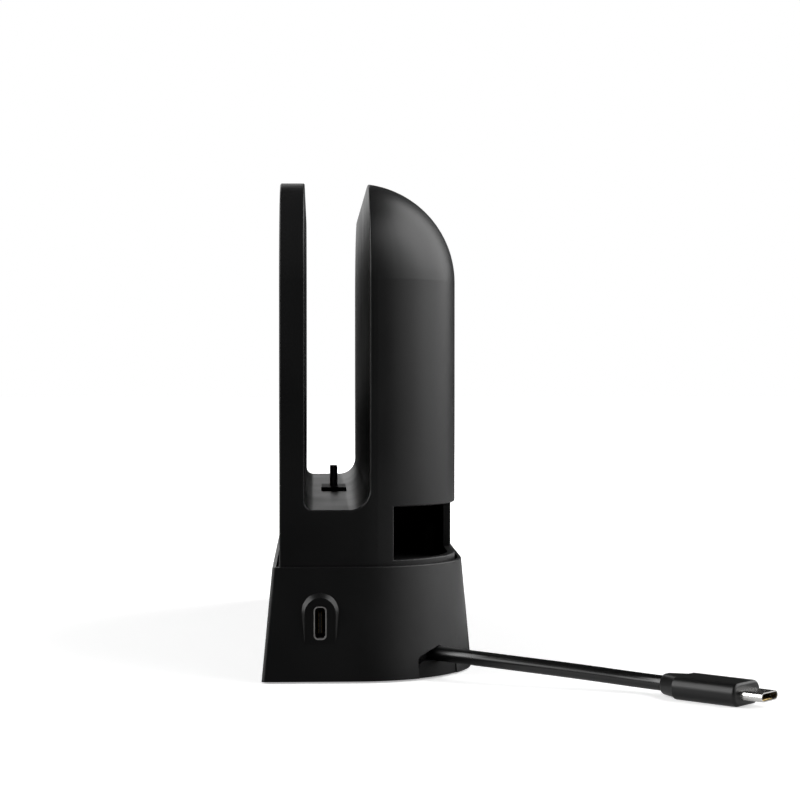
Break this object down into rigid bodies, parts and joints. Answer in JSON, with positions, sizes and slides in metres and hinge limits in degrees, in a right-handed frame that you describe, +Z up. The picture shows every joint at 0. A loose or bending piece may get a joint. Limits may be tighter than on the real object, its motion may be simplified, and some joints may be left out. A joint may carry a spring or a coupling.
{
  "type": "handheld console dock",
  "caption": "Rounded black dock with an open upright slot for a handheld console, seated in a tapered stand with card slots, a side socket and a short captive cable.",
  "frame": {"origin": "middle of the stand's footprint, on the surface that its rubber feet stand on", "axes": "+X towards the side with the cable window and the side socket, -Y the front, +Z up"},
  "size_m": [0.2593, 0.1367, 0.1441],
  "materials": {
    "dock_plastic": "fine satin grain, black",
    "stand_plastic": "fine satin grain, black",
    "rubber": "matt black",
    "screw_steel": "zinc plated",
    "board": "green solder mask",
    "socket_metal": "satin nickel",
    "insulator": "black",
    "light_pipe": "clear, slightly milky",
    "cable_jacket": "smooth satin black",
    "plug_plastic": "satin black"
  },
  "bodies": {
    "root": {"front_housing": "dock_plastic", "rear_housing": "dock_plastic", "rear_cover": "dock_plastic", "dock_plate": "dock_plastic", "stand_shell": "stand_plastic", "base_plate": "stand_plastic", "front_card_rack": "stand_plastic", "rear_card_rack": "stand_plastic", "dock_feet": "rubber", "base_feet": "rubber", "cable_grommet": "rubber", "dock_screws": "screw_steel", "base_screws": "screw_steel", "main_board": "board", "port_board": "board", "link_board": "board", "console_plug": "socket_metal", "usb_socket_front": "socket_metal", "usb_socket_rear": "socket_metal", "side_socket_shell": "socket_metal", "plug_tip": "socket_metal", "power_socket": "socket_metal", "video_socket": "socket_metal", "plug_carrier": "insulator", "usb_tongue_front": "insulator", "usb_tongue_rear": "insulator", "side_socket_core": "insulator", "plug_core": "insulator", "network_socket": "insulator", "status_light": "light_pipe", "cable": "cable_jacket", "plug_grip": "plug_plastic"}
  },
  "joints": []
}
